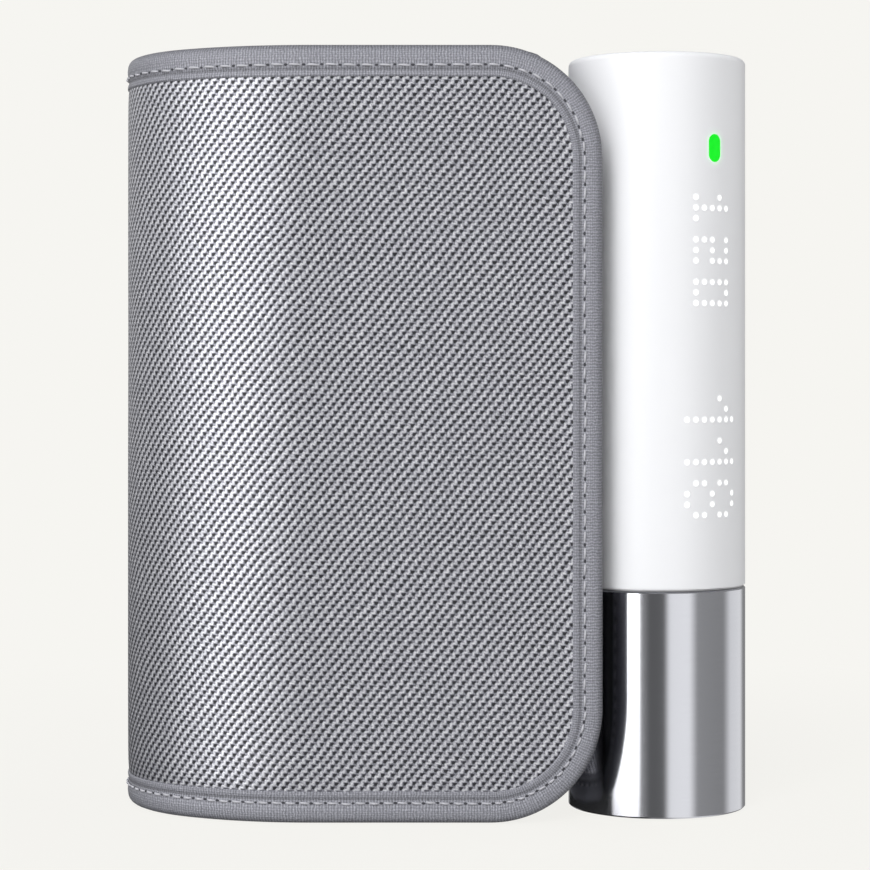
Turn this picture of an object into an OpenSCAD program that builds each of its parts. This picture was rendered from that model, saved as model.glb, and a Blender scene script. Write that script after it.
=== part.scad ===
// Rolled upper-arm cuff with a tube-shaped blood pressure monitor on its side.
// The origin is at the middle of the base, +Z runs up the tube and -Y is the front.

/* [Whole object] */
// Width from the roll's bend to the far side of the tube
overall_w = 124.8; // [110:0.1:150]
// Depth of the roll from front to back
roll_d = 61; // [51:0.5:73.5]
// Width of the cuff's band, which is the height of the roll
band_h = 150; // [125:1:180]

/* [Band] */
// Distance that the roll's bend reaches past its flat front
bend_reach = 38.3; // [32:0.1:46]
// Extra radius of the shoulder, where the flat front eases into the bend
shoulder_ease = 9.7; // [7:0.1:20]
// Radius of the roll's corner behind the tube
back_corner_r = 26.5; // [20:0.5:28]
// Radius of the corner that is tucked under the flap
front_corner_r = 14; // [10:0.5:16]
// Distance that the band's inner end stops short of the back corner
inner_end_gap = 1; // [0:0.5:10]
// Gap between two turns of the band
turn_gap = 0.3; // [0.2:0.05:1]
// Thickness of the woven outer fabric
fabric_t = 0.9; // [0.6:0.05:1.2]
// Thickness of the core between the fabric and the lining
core_t = 1.85; // [1.6:0.05:2.4]
// Thickness of the lining on the skin side
lining_t = 0.85; // [0.6:0.05:1.2]
// Air gap between the layers
layer_gap = 0.05; // [0.02:0.01:0.1]

/* [Edge binding] */
// Width of the ribbed tape on each face
bind_w = 5.6; // [4:0.1:7]
// Thickness of the tape on each face
bind_t = 0.35; // [0.25:0.05:0.6]
// Thickness of the tape around the edge
bind_edge_t = 0.6; // [0.4:0.1:1]

/* [Flap] */
// Distance that the flap laps over the near side of the tube
flap_lap = 5.9; // [2:0.1:9]
// Radius of the flap's two free corners
flap_corner_r = 22; // [12:0.5:28]
// Half of the slit between the flap and the rest of the band at the fold
fold_gap = 0.3; // [0.2:0.05:0.6]
// Distance from the hook patch inside the flap to the roll's bend
hook_gap = 10.4; // [3:0.1:20]
// Distance from the loop patch under the flap to the bends on its two sides
loop_gap = 2.25; // [1:0.25:8]
// Distance from the band's edges to the hook and loop patches
patch_margin = 13; // [8:1:25]

/* [Bladder] */
// Thickness of the air bladder
bladder_t = 0.9; // [0.6:0.05:1.1]
// Distance from the band's edges to the bladder
bladder_margin = 14; // [10:1:30]
// Height of the bladder's tongue behind the tube
tongue_h = 20; // [14:1:26]

/* [Tube] */
// Diameter of the tube
tube_d = 35.4; // [31:0.1:42.5]
// Height of the tube
tube_h = 149.4; // [140:0.1:180]
// Gap between the flap and the near side of the tube
flap_gap = 1; // [0.6:0.1:3]
// Distance that the saddle holds the tube off the band
saddle_t = 5; // [3:0.1:7]
// Height of the steel sleeve
sleeve_h = 44.1; // [36:0.1:53]
// Wall of the steel sleeve
sleeve_t = 1; // [0.6:0.1:1.3]
// Wall of the white housing
housing_t = 2.1; // [1.9:0.1:2.6]
// Rounding of the housing's top edge
edge_r = 1.2; // [0.5:0.1:1.6]
// Height of the dark ring between the steel and the white housing
ring_h = 0.5; // [0.3:0.1:1]
// Fitting gap between pieces that slide together
fit_gap = 0.1; // [0.05:0.01:0.15]

/* [End caps and button] */
// Thickness of the top cap
cap_t = 2; // [1.6:0.1:3]
// Depth of the top cap below the housing's rim
cap_sink = 0.3; // [0.1:0.1:0.8]
// Diameter of the start button
button_d = 13; // [9:0.5:17]
// Travel of the start button
button_travel = 0.8; // [0.4:0.1:1.2]
// Thickness of the base cap
base_t = 2; // [1.6:0.1:3]
// Depth of the base cap above the steel rim
base_sink = 0.8; // [0.4:0.1:1.5]
// Width of the charging socket
socket_w = 7.6; // [6:0.1:9]
// Thickness of the charging socket
socket_t = 2.7; // [2.2:0.1:3.5]
// Depth of the charging socket
socket_l = 5; // [4:0.5:6]

/* [Display] */
// Angle of the display from the front towards the right
display_a = 33; // [0:1:60]
// Number of light columns along the tube
light_cols = 31; // [11:1:31]
// Number of light rows around the tube
light_rows = 7; // [5:1:7]
// Height of the middle of the display
display_z = 90; // [85:0.5:95]
// Spacing of the light columns
light_pitch = 2.07; // [1.8:0.01:2.3]
// Angle from the middle of the display to the status light
status_a = 2; // [0:0.5:4]
// Height of the middle of the status light
status_z = 130.7; // [127:0.1:133]
// Width of the status light
status_w = 3; // [2:0.1:4]
// Height of the status light
status_h = 5.5; // [4:0.1:8]

/* [Inside the tube] */
// Wall of the chassis
chassis_t = 1.2; // [0.8:0.1:1.4]
// Diameter of the pump's motor
motor_d = 24; // [20:0.5:24.5]
// Length of the pump's motor
motor_l = 28; // [22:0.5:29]
// Length of the pump's head
pump_head_l = 14; // [10:0.5:14.5]
// Diameter of the battery
battery_d = 14.2; // [10:0.1:17]
// Thickness of the circuit boards
board_t = 1; // [0.8:0.1:1.2]

/* [Hidden] */
$fn = 96;

// Band: depths are counted inwards from the binding's outer face.
band_t = 2 * bind_t + fabric_t + core_t + lining_t + 2 * layer_gap;
turn_pitch = band_t + turn_gap;
fabric_in = bind_t + fabric_t;
core_out = fabric_in + layer_gap;
core_in = core_out + core_t;
lining_out = core_in + layer_gap;
lining_in = lining_out + lining_t;
bladder_out = core_in - bladder_t;
backing_in = bladder_out - layer_gap;

// Tube
tube_r = tube_d / 2;
tube_x = overall_w / 2 - tube_r;
tube_y = -roll_d / 2 + band_t + flap_gap + tube_r;
side_x = tube_x - tube_r - saddle_t;

// The bend has a tight middle between two easy shoulders.
shoulder_r = bend_reach + shoulder_ease;
shoulder_rise = shoulder_r - roll_d / 2;
bend_r = shoulder_r - (pow(shoulder_rise, 2) + pow(shoulder_ease, 2)) / (2 * shoulder_ease);
shoulder_a = atan2(shoulder_r - bend_r - shoulder_ease, shoulder_rise);
front_x = -overall_w / 2 + bend_reach;
free_x = tube_x - tube_r + flap_lap;
fold_trim = asin(fold_gap / bend_r);
hook_x = bind_w + 3;

// The band from its free end inwards, as [turn in degrees, radius] or [0, length].
STRETCHES = [
    [0, free_x - front_x],
    [shoulder_a, shoulder_r],
    [90 - shoulder_a, bend_r],
    [90 - shoulder_a, bend_r],
    [shoulder_a, shoulder_r],
    [0, side_x - back_corner_r - front_x],
    [90, back_corner_r],
    [0, roll_d - turn_pitch - back_corner_r - front_corner_r],
    [90, front_corner_r],
    [0, side_x - front_corner_r - front_x],
    [shoulder_a, shoulder_r - turn_pitch],
    [180 - 2 * shoulder_a, bend_r - turn_pitch],
    [shoulder_a, shoulder_r - turn_pitch],
    [0, side_x - back_corner_r - front_x - inner_end_gap]];
FLAP_LAST = 2;
BACK_FIRST = 3;
SIDE_RUN = 7;
INNER_FRONT = 9;
INNER_END = 13;
ARC_STEP = 3.75;

// Tube inside
housing_in_r = tube_r - housing_t;
sleeve_in_r = tube_r - sleeve_t;
spigot_r = sleeve_in_r - fit_gap;
housing_z = sleeve_h + ring_h;
chassis_r = housing_in_r - fit_gap;
chassis_in_r = chassis_r - chassis_t;
base_top = base_sink + base_t;
socket_z = base_sink + 0.4;
socket_board_z = socket_z + socket_l;
chassis_z = socket_board_z + board_t;
shelf_t = 1.5;
cap_top = tube_h - cap_sink;
cap_z = cap_top - cap_t;
ledge_h = 1.2;
flange_t = 1;
flange_lap = 1.1;
switch_body_h = 3.4;
switch_tip_h = 0.6;
stem_l = 2.2;
switch_top = cap_z - flange_t - stem_l - button_travel - 0.1;
button_board_z = switch_top - switch_tip_h - switch_body_h - board_t;
top_shelf_z = button_board_z - shelf_t;
pump_shelf_z = 54.5;
mid_shelf_z = 84.5;
motor_z = chassis_z + shelf_t + 1.3;
motor_boss_h = 1.1;
pump_head_z = motor_z + motor_l;
main_board_y = 9.6;
main_board_w = 17;
main_board_z = pump_shelf_z + shelf_t + 1;
display_board_y = -9.5;
display_board_w = 16;
display_l = (light_cols - 1) * light_pitch;
display_margin = 4;
led_w = 0.8;
led_t = 0.6;
row_pitch = 1.6;
diffuser_t = 1.9;
diffuser_a = 24;
manifold_h = 10;
manifold_z = mid_shelf_z - 0.2 - manifold_h;
nipple_z = manifold_z + manifold_h / 2;
tongue_z = nipple_z - tongue_h / 2;
nipple_r = 2.2;
nipple_bore_r = 1.2;
boss_l = 10.5;
hose_t = 0.7;
hose_lap = 2;
pump_port = [-3, -3];
valve_port = [3.2, 1.8];
sensor_port = [0, 7.7];
pump_port_r = 1.9;
valve_port_r = 1.4;
sensor_port_r = 1.1;
valve_r = 4.5;
valve_l = 11;
sensor_w = 7;
sensor_z = 60;
sensor_t = 3;
screw_r = 1.1;
screw_head_r = 2;
screw_head_t = 0.8;
saddle_w = 15;
saddle_foot_gap = 6.4;
saddle_top_gap = 9.4;
saddle_z = housing_z + saddle_foot_gap;
saddle_h = tube_h - saddle_top_gap - saddle_z;
screw_tongue_gap = 8.7;
screw_end_gap = 10;
SADDLE_SCREW_Z = [
    floor((saddle_z + tongue_z) / 2),
    tongue_z + tongue_h + screw_tongue_gap,
    saddle_z + saddle_h - screw_end_gap];
base_screw_x = 10.5;

// Place where stretch i starts, as [x, y, heading].
function bend_centre(s, r) = [s[0] + r * cos(s[2] - 90), s[1] + r * sin(s[2] - 90)];
function run_end(s, l) = [s[0] + l * cos(s[2]), s[1] + l * sin(s[2]), s[2]];
function bend_end(s, turn, r) =
    let (c = bend_centre(s, r), a = s[2] + 90 - turn)
    [c[0] + r * cos(a), c[1] + r * sin(a), s[2] - turn];
function after(s, e) = e[0] == 0 ? run_end(s, e[1]) : bend_end(s, e[0], e[1]);
function start_of(i) = i == 0 ? [free_x, -roll_d / 2, 180] : after(start_of(i - 1), STRETCHES[i - 1]);

// Point at a depth inside the outer face of a place on the band.
function sunk(s, d) = [s[0] + d * cos(s[2] - 90), s[1] + d * sin(s[2] - 90)];

// Points along stretch i at one depth, with the bends cut back where the flap folds.
function bend_line(i, d) =
    let (s = start_of(i), turn = STRETCHES[i][0], r = STRETCHES[i][1], c = bend_centre(s, r),
        t0 = i == BACK_FIRST ? fold_trim : 0,
        t1 = turn - (i == FLAP_LAST ? fold_trim : 0),
        n = ceil(turn / ARC_STEP))
    [for (k = [0:n]) let (a = s[2] + 90 - t0 - (t1 - t0) * k / n) c + (r - d) * [cos(a), sin(a)]];
function run_line(i, d) = [sunk(start_of(i), d)];
function stretch_line(i, d) = STRETCHES[i][0] == 0 ? run_line(i, d) : bend_line(i, d);
function last_point(i, d) = STRETCHES[i][0] == 0 ? [sunk(start_of(i + 1), d)] : [];
function band_line(first, last, d) =
    distinct(concat([for (i = [first:last]) each stretch_line(i, d)], last_point(last, d)));

// The line drawn on straight past its two ends.
function past_start(line, by) = line[0] + by * (line[0] - line[1]) / norm(line[0] - line[1]);
function past_end(line, by) = past_start(reversed(line), by);
function longer(line, by) = by == 0 ? line : concat([past_start(line, by)], line, [past_end(line, by)]);
function reversed(points) = [for (k = [len(points) - 1:-1:0]) points[k]];

// Neighbouring points that fall together are kept once.
function distinct(points) = [
    for (k = [0:len(points) - 1]) if (k == 0 || norm(points[k] - points[k - 1]) > 0.01) points[k]];

// A layer of the band along the stretches first to last, from depth d0 to d1.
module layer(first, last, d0, d1, z0, z1, past = 0) {
    outer = longer(band_line(first, last, d0), past);
    inner = longer(band_line(first, last, d1), past);
    translate([0, 0, z0]) linear_extrude(z1 - z0) polygon(concat(outer, reversed(inner)));
}

// Part of a straight stretch, from u0 to u1 along it.
module run_part(i, u0, u1, d0, d1, z0, z1) {
    s = start_of(i);
    translate([s[0], s[1], z0]) rotate([0, 0, s[2]])
        translate([u0, -d1, 0]) cube([u1 - u0, d1 - d0, z1 - z0]);
}

// Tape folded round the top (side 1) or the bottom (side 0) edge of the band.
module edge_tape(first, last, side) {
    z0 = side == 0 ? 0 : band_h - bind_w;
    groove_z = side == 0 ? bind_edge_t : band_h - bind_w - 1;
    difference() {
        layer(first, last, 0, band_t, z0, z0 + bind_w);
        layer(first, last, bind_t, band_t - bind_t, groove_z, groove_z + bind_w + 1 - bind_edge_t, 1);
    }
}

// Prism through the flap with its rounded free corners, drawn in by inset.
module flap_outline(inset) {
    r = flap_corner_r - inset;
    left = -overall_w;
    right = free_x - inset;
    translate([0, roll_d, 0]) rotate([90, 0, 0]) linear_extrude(2 * roll_d) {
        translate([left, inset]) square([right - r - left, band_h - 2 * inset]);
        translate([right - r - 1, flap_corner_r]) square([r + 1, band_h - 2 * flap_corner_r]);
        for (z = [flap_corner_r, band_h - flap_corner_r]) translate([right - r, z]) circle(r);
    }
}

module flap_layer(d0, d1, inset, past = 0) {
    intersection() {
        layer(0, FLAP_LAST, d0, d1, -1, band_h + 1, past);
        flap_outline(inset);
    }
}

module flap_fabric() {
    color([0.62, 0.63, 0.65]) flap_layer(bind_t, fabric_in, bind_edge_t);
}

module flap_foam() {
    color([0.25, 0.25, 0.27]) flap_layer(core_out, core_in, 2 * bind_edge_t);
}

module flap_lining() {
    color([0.13, 0.13, 0.14]) flap_layer(lining_out, lining_in, bind_edge_t);
}

module flap_binding() {
    color([0.45, 0.47, 0.5]) difference() {
        flap_layer(0, band_t, 0);
        flap_layer(-1, band_t + 1, bind_w, 1);
        flap_layer(bind_t, band_t - bind_t, bind_edge_t, 2);
    }
}

module hook_patch() {
    color([0.08, 0.08, 0.09])
        run_part(0, hook_x, STRETCHES[0][1] - hook_gap, lining_in, band_t, patch_margin, band_h - patch_margin);
}

// Holes through the band and the tube's wall for the screws and the air nipple.
module cross_drill(r, z) {
    translate([side_x - 2 * band_t, tube_y, z]) rotate([0, 90, 0]) cylinder(r = r, h = 2 * band_t + tube_r);
}

module side_holes() {
    for (z = SADDLE_SCREW_Z) cross_drill(screw_r + fit_gap, z);
    cross_drill(nipple_r + fit_gap, nipple_z);
}

module band_fabric() {
    color([0.6, 0.61, 0.63]) difference() {
        layer(BACK_FIRST, INNER_END, bind_t, fabric_in, bind_edge_t, band_h - bind_edge_t);
        side_holes();
    }
}

module band_foam() {
    color([0.3, 0.3, 0.32]) {
        layer(BACK_FIRST, SIDE_RUN - 1, core_out, core_in, 2 * bind_edge_t, band_h - 2 * bind_edge_t);
        layer(SIDE_RUN + 1, INNER_END, core_out, backing_in, 2 * bind_edge_t, band_h - 2 * bind_edge_t);
    }
}

module band_lining() {
    color([0.13, 0.13, 0.14])
        layer(BACK_FIRST, INNER_END, lining_out, lining_in, bind_edge_t, band_h - bind_edge_t);
}

module top_binding() {
    color([0.45, 0.47, 0.5]) edge_tape(BACK_FIRST, INNER_END, 1);
}

module bottom_binding() {
    color([0.45, 0.47, 0.5]) edge_tape(BACK_FIRST, INNER_END, 0);
}

// Tape folded round the inner end, between the two long tapes.
module end_binding() {
    run_l = STRETCHES[INNER_END][1];
    color([0.45, 0.47, 0.5]) difference() {
        union() {
            run_part(INNER_END, run_l, run_l + bind_edge_t, 0, band_t, 0, band_h);
            run_part(INNER_END, run_l - bind_w, run_l + bind_edge_t, 0, band_t, bind_w, band_h - bind_w);
        }
        run_part(INNER_END, run_l - bind_w - 1, run_l, bind_t, band_t - bind_t, -1, band_h + 1);
    }
}

module loop_patch() {
    run_l = STRETCHES[INNER_FRONT][1];
    color([0.36, 0.37, 0.39])
        run_part(INNER_FRONT, loop_gap, run_l - loop_gap, 0, bind_t, patch_margin, band_h - patch_margin);
}

module air_bladder() {
    color([0.2, 0.2, 0.22]) difference() {
        union() {
            layer(SIDE_RUN + 1, INNER_END, bladder_out, core_in, bladder_margin, band_h - bladder_margin);
            layer(SIDE_RUN, SIDE_RUN, bladder_out, core_in, tongue_z, tongue_z + tongue_h);
        }
        cross_drill(nipple_r + fit_gap, nipple_z);
    }
}

module saddle_backplate() {
    color([0.75, 0.76, 0.78]) difference() {
        layer(SIDE_RUN, SIDE_RUN, core_out, backing_in, saddle_z, saddle_z + saddle_h);
        side_holes();
    }
}

// Block between the band and the tube, hollowed to the tube's curve.
module cuff_saddle() {
    end_r = saddle_w / 2;
    color([0.88, 0.88, 0.89]) difference() {
        translate([side_x + fit_gap - bind_t, tube_y, saddle_z]) rotate([90, 0, 90])
            linear_extrude(saddle_t + tube_r / 3) {
                translate([-end_r, end_r]) square([saddle_w, saddle_h - saddle_w]);
                for (z = [end_r, saddle_h - end_r]) translate([0, z]) circle(end_r);
            }
        translate([tube_x, tube_y, saddle_z - 1]) cylinder(r = tube_r + fit_gap / 2, h = saddle_h + 2);
        side_holes();
        translate([side_x - 1, tube_y, nipple_z]) rotate([0, 90, 0]) cylinder(r = nipple_r + 1.4, h = 1.8);
    }
}

module saddle_screws() {
    color("silver") for (z = SADDLE_SCREW_Z) {
        translate([side_x - backing_in - screw_head_t, tube_y, z]) rotate([0, 90, 0]) {
            cylinder(r = screw_head_r, h = screw_head_t);
            cylinder(r = screw_r, h = screw_head_t + tube_x - chassis_in_r - side_x + backing_in);
        }
    }
}

module air_nipple() {
    first_x = side_x - core_in;
    color([0.85, 0.85, 0.86]) translate([first_x, tube_y, nipple_z]) rotate([0, 90, 0]) difference() {
        cylinder(r = nipple_r, h = tube_x - boss_l - first_x);
        translate([0, 0, -1]) cylinder(r = nipple_bore_r, h = tube_r * 2);
    }
}

module nipple_seal() {
    color([0.1, 0.1, 0.1]) translate([side_x - bind_t + fit_gap, tube_y, nipple_z]) rotate([0, 90, 0]) difference() {
        cylinder(r = nipple_r + 1.3, h = 0.9);
        translate([0, 0, -1]) cylinder(r = nipple_r, h = 3);
    }
}

module at_tube() {
    translate([tube_x, tube_y, 0]) children();
}

module at_display() {
    at_tube() rotate([0, 0, display_a]) children();
}

// Pill-shaped prism that runs out through the wall at the status light.
module status_prism(gap) {
    w = status_w + 2 * gap;
    h = status_h + 2 * gap;
    rotate([0, 0, status_a]) translate([0, 0, status_z]) rotate([90, 0, 0]) linear_extrude(tube_r + 1) {
        square([w, h - w], center = true);
        for (s = [-1, 1]) translate([0, s * (h - w) / 2]) circle(w / 2);
    }
}

module upper_housing() {
    spigot_z = base_top + 3.2;
    color("white") difference() {
        at_tube() rotate_extrude() {
            translate([housing_in_r, spigot_z]) square([spigot_r - housing_in_r, housing_z - spigot_z]);
            translate([housing_in_r, housing_z]) square([housing_t, tube_h - edge_r - housing_z]);
            translate([housing_in_r, housing_z]) square([housing_t - edge_r, tube_h - housing_z]);
            translate([tube_r - edge_r, tube_h - edge_r]) intersection() {
                circle(edge_r);
                square(edge_r);
            }
            translate([housing_in_r - 1.2, cap_z - ledge_h]) square([1.3, ledge_h]);
        }
        at_display() status_prism(0);
        for (z = SADDLE_SCREW_Z) cross_drill(screw_r + fit_gap, z);
        cross_drill(nipple_r + fit_gap, nipple_z);
    }
}

module steel_sleeve() {
    c = 0.3;
    color([0.7, 0.71, 0.73]) at_tube() rotate_extrude() polygon([
        [sleeve_in_r, 0], [tube_r - c, 0], [tube_r, c],
        [tube_r, sleeve_h - c], [tube_r - c, sleeve_h], [sleeve_in_r, sleeve_h]]);
}

module seam_ring() {
    color([0.12, 0.12, 0.13]) at_tube() translate([0, 0, sleeve_h]) difference() {
        cylinder(r = tube_r - 0.35, h = ring_h);
        translate([0, 0, -1]) cylinder(r = spigot_r, h = ring_h + 2);
    }
}

module top_cap() {
    color("white") at_tube() translate([0, 0, cap_z]) difference() {
        cylinder(r = housing_in_r - fit_gap, h = cap_t);
        translate([0, 0, -1]) cylinder(r = button_d / 2 + fit_gap, h = cap_t + 2);
    }
}

// Button with a dished face, a flange under the cap and a stem over the switch.
module start_button() {
    dish_r = 40;
    dish_depth = 0.4;
    color([0.82, 0.83, 0.85]) at_tube() difference() {
        union() {
            translate([0, 0, cap_z - 0.01]) cylinder(d = button_d, h = cap_t + 0.01);
            translate([0, 0, cap_z - flange_t]) cylinder(r = button_d / 2 + flange_lap, h = flange_t);
            translate([0, 0, cap_z - flange_t - stem_l]) cylinder(r = 2, h = stem_l + 0.1);
        }
        translate([0, 0, cap_top + dish_r - dish_depth]) sphere(dish_r);
    }
}

module button_board() {
    color([0.1, 0.35, 0.2]) at_tube() translate([0, 0, button_board_z]) cylinder(r = chassis_in_r - 0.4, h = board_t);
}

module button_switch() {
    body_w = 6;
    color([0.2, 0.2, 0.2]) at_tube() translate([0, 0, button_board_z + board_t]) {
        translate([-body_w / 2, -body_w / 2, 0]) cube([body_w, body_w, switch_body_h]);
        translate([0, 0, switch_body_h - 0.1]) cylinder(r = 1.6, h = switch_tip_h + 0.1);
    }
}

module port_hole(p, r, z0, z1) {
    translate([p[0], p[1], z0]) cylinder(r = r, h = z1 - z0);
}

// Room in the chassis between two shelves, open on the display's side.
module chassis_bay(z0, z1) {
    port_hole([0, 0], chassis_in_r, z0, z1);
    translate([-tube_r, -tube_r, z0]) cube([tube_d, tube_r, z1 - z0]);
}

// Half tube with shelves for what it carries.
module chassis() {
    color([0.3, 0.31, 0.33]) difference() {
        at_display() difference() {
            port_hole([0, 0], chassis_r, chassis_z, top_shelf_z + shelf_t);
            chassis_bay(chassis_z + shelf_t, pump_shelf_z);
            chassis_bay(pump_shelf_z + shelf_t, mid_shelf_z);
            chassis_bay(mid_shelf_z + shelf_t, top_shelf_z);
            translate([-tube_r, -tube_r, chassis_z + shelf_t])
                cube([tube_d, tube_r + display_board_y + fit_gap, top_shelf_z - chassis_z - shelf_t]);
            translate([-main_board_w / 2 - fit_gap, main_board_y - fit_gap, mid_shelf_z - 1])
                cube([main_board_w + 2 * fit_gap, board_t + 2 * fit_gap, shelf_t + 2]);
            port_hole(pump_port, pump_port_r + hose_t + 0.4, pump_shelf_z - 1, pump_shelf_z + shelf_t + 1);
            for (s = [-1, 1]) port_hole([s * base_screw_x, 0], screw_r, chassis_z - 1, chassis_z + shelf_t + 1);
        }
        for (z = SADDLE_SCREW_Z) cross_drill(screw_r, z);
        cross_drill(nipple_r + fit_gap, nipple_z);
    }
}

module battery() {
    cell_z = mid_shelf_z + shelf_t + 0.2;
    cell_l = top_shelf_z - 0.3 - cell_z;
    nub_l = 0.9;
    color([0.15, 0.3, 0.55]) at_display() translate([0, -0.8, cell_z]) {
        cylinder(d = battery_d, h = cell_l - nub_l);
        translate([0, 0, cell_l - nub_l - 0.1]) cylinder(r = 2.8, h = nub_l + 0.1);
    }
}

module main_board() {
    board_l = top_shelf_z - 2.5 - main_board_z;
    color([0.1, 0.35, 0.2]) at_display() translate([-main_board_w / 2, main_board_y, main_board_z])
        cube([main_board_w, board_t, board_l]);
}

module shield_can() {
    can = [13, 1.8, 18];
    color([0.75, 0.76, 0.77]) at_display()
        translate([-can[0] / 2, main_board_y - can[1], mid_shelf_z + 10]) cube(can);
}

module pressure_sensor() {
    color([0.12, 0.12, 0.13]) at_display() {
        translate([-sensor_w / 2, main_board_y - sensor_t, sensor_z]) cube([sensor_w, sensor_t, sensor_w]);
        port_hole(sensor_port, sensor_port_r, sensor_z + sensor_w - 0.1, sensor_z + sensor_w + 3);
    }
}

// Block that joins the pump, the valve and the sensor to the air nipple.
module air_manifold() {
    block = [12, 15.4];
    color([0.8, 0.8, 0.82]) difference() {
        union() {
            at_display() {
                translate([-block[0] / 2, main_board_y - 0.2 - block[1], manifold_z])
                    cube([block[0], block[1], manifold_h]);
                port_hole(pump_port, pump_port_r, manifold_z - hose_lap, manifold_z + 0.1);
                port_hole(valve_port, valve_port_r, manifold_z - hose_lap, manifold_z + 0.1);
                port_hole(sensor_port, sensor_port_r, manifold_z - hose_lap, manifold_z + 0.1);
            }
            translate([tube_x - boss_l, tube_y, nipple_z]) rotate([0, 90, 0]) cylinder(r = 3.2, h = boss_l);
        }
        translate([tube_x - boss_l - 1, tube_y, nipple_z]) rotate([0, 90, 0])
            cylinder(r = nipple_bore_r, h = boss_l);
    }
}

module hose(p, r, z0, z1) {
    translate([p[0], p[1], z0]) difference() {
        cylinder(r = r + hose_t, h = z1 - z0);
        translate([0, 0, -1]) cylinder(r = r, h = z1 - z0 + 2);
    }
}

module air_hoses() {
    pump_out_z = pump_head_z + pump_head_l;
    valve_out_z = pump_shelf_z + shelf_t + 0.2 + valve_l;
    color([0.85, 0.87, 0.9]) at_display() {
        hose(pump_port, pump_port_r, pump_out_z + 0.3, manifold_z - 0.1);
        hose(valve_port, valve_port_r, valve_out_z + 0.3, manifold_z - 0.1);
        hose(sensor_port, sensor_port_r, sensor_z + sensor_w + 0.3, manifold_z - 0.1);
    }
}

module release_valve() {
    valve_z = pump_shelf_z + shelf_t + 0.2;
    color([0.55, 0.56, 0.58]) at_display() {
        port_hole(valve_port, valve_r, valve_z, valve_z + valve_l);
        port_hole(valve_port, valve_port_r, valve_z + valve_l - 0.1, valve_z + valve_l + 3);
    }
}

module pump_head() {
    color([0.15, 0.15, 0.16]) at_display() {
        translate([0, 0, pump_head_z]) cylinder(r = motor_d / 2 + 0.4, h = pump_head_l);
        port_hole(pump_port, pump_port_r, pump_head_z + pump_head_l - 0.1, pump_head_z + pump_head_l + 5);
    }
}

module pump_motor() {
    color([0.7, 0.71, 0.72]) at_display() {
        translate([0, 0, motor_z]) cylinder(d = motor_d, h = motor_l);
        translate([0, 0, motor_z - motor_boss_h]) cylinder(r = 4, h = motor_boss_h + 0.1);
    }
}

module pump_dampers() {
    damper_h = 4;
    color([0.1, 0.1, 0.1]) at_display()
        for (z = [motor_z + 3, motor_z + motor_l - 3 - damper_h]) translate([0, 0, z]) difference() {
            cylinder(r = chassis_in_r - fit_gap, h = damper_h);
            translate([0, 0, -1]) cylinder(d = motor_d, h = damper_h + 2);
        }
}

module display_board() {
    color([0.1, 0.35, 0.2]) at_display()
        translate([-display_board_w / 2, display_board_y - board_t, display_z - display_l / 2 - display_margin])
            cube([display_board_w, board_t, display_l + 2 * display_margin]);
}

module display_leds() {
    color([0.95, 0.95, 0.85]) at_display()
        for (c = [0:light_cols - 1], r = [0:light_rows - 1])
            translate([(r - (light_rows - 1) / 2) * row_pitch - led_w / 2,
                    display_board_y - board_t - led_t,
                    display_z + (c - (light_cols - 1) / 2) * light_pitch - led_w / 2])
                cube([led_w, led_t, led_w]);
}

module display_diffuser() {
    color([0.9, 0.9, 0.92]) at_display()
        translate([0, 0, display_z - display_l / 2 - display_margin])
            rotate([0, 0, 270 - diffuser_a]) rotate_extrude(angle = 2 * diffuser_a)
                translate([chassis_r - diffuser_t, 0]) square([diffuser_t, display_l + 2 * display_margin]);
}

// Green light pipe, flush with the outside of the tube.
module status_light() {
    pipe_l = 5;
    color([0.1, 0.9, 0.2]) at_display() intersection() {
        status_prism(-0.05);
        translate([0, 0, status_z - status_h]) difference() {
            cylinder(r = tube_r, h = 2 * status_h);
            translate([0, 0, -1]) cylinder(r = tube_r - pipe_l, h = 2 * status_h + 2);
        }
    }
}

module socket_board() {
    color([0.1, 0.35, 0.2]) at_display() translate([0, 0, socket_board_z]) difference() {
        cylinder(r = housing_in_r - 1, h = board_t);
        for (s = [-1, 1]) port_hole([s * base_screw_x, 0], screw_r + fit_gap, -1, board_t + 1);
    }
}

// Metal shell with its contact tongue; the mouth looks down.
module charge_socket() {
    wall = 0.3;
    tongue = [4, 0.7, 3.4];
    color([0.78, 0.78, 0.8]) at_display() translate([0, 0, socket_z]) {
        difference() {
            translate([-socket_w / 2, -socket_t / 2, 0]) cube([socket_w, socket_t, socket_l]);
            translate([wall - socket_w / 2, wall - socket_t / 2, -1])
                cube([socket_w - 2 * wall, socket_t - 2 * wall, socket_l + 1 - wall]);
        }
        translate([-tongue[0] / 2, -tongue[1] / 2, socket_l - wall - tongue[2]]) cube(tongue);
    }
}

module base_cap() {
    slot_gap = 0.3;
    color([0.16, 0.16, 0.17]) at_display() difference() {
        union() {
            translate([0, 0, base_sink]) cylinder(r = spigot_r, h = base_t);
            translate([0, 0, base_top - 0.1]) difference() {
                cylinder(r = spigot_r, h = 3.2 + 0.1);
                translate([0, 0, -1]) cylinder(r = housing_in_r, h = 6);
            }
        }
        translate([-socket_w / 2 - slot_gap, -socket_t / 2 - slot_gap, 0])
            cube([socket_w + 2 * slot_gap, socket_t + 2 * slot_gap, base_top + 1]);
        for (s = [-1, 1]) {
            port_hole([s * base_screw_x, 0], screw_r + fit_gap, 0, base_top + 1);
            port_hole([s * base_screw_x, 0], screw_head_r + fit_gap, 0, base_sink + 1);
        }
    }
}

module base_screws() {
    head_z = base_sink + 1 - screw_head_t;
    color("silver") at_display() for (s = [-1, 1]) {
        port_hole([s * base_screw_x, 0], screw_head_r, head_z, base_sink + 1);
        port_hole([s * base_screw_x, 0], screw_r, base_sink + 0.9, chassis_z + shelf_t);
    }
}

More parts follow.
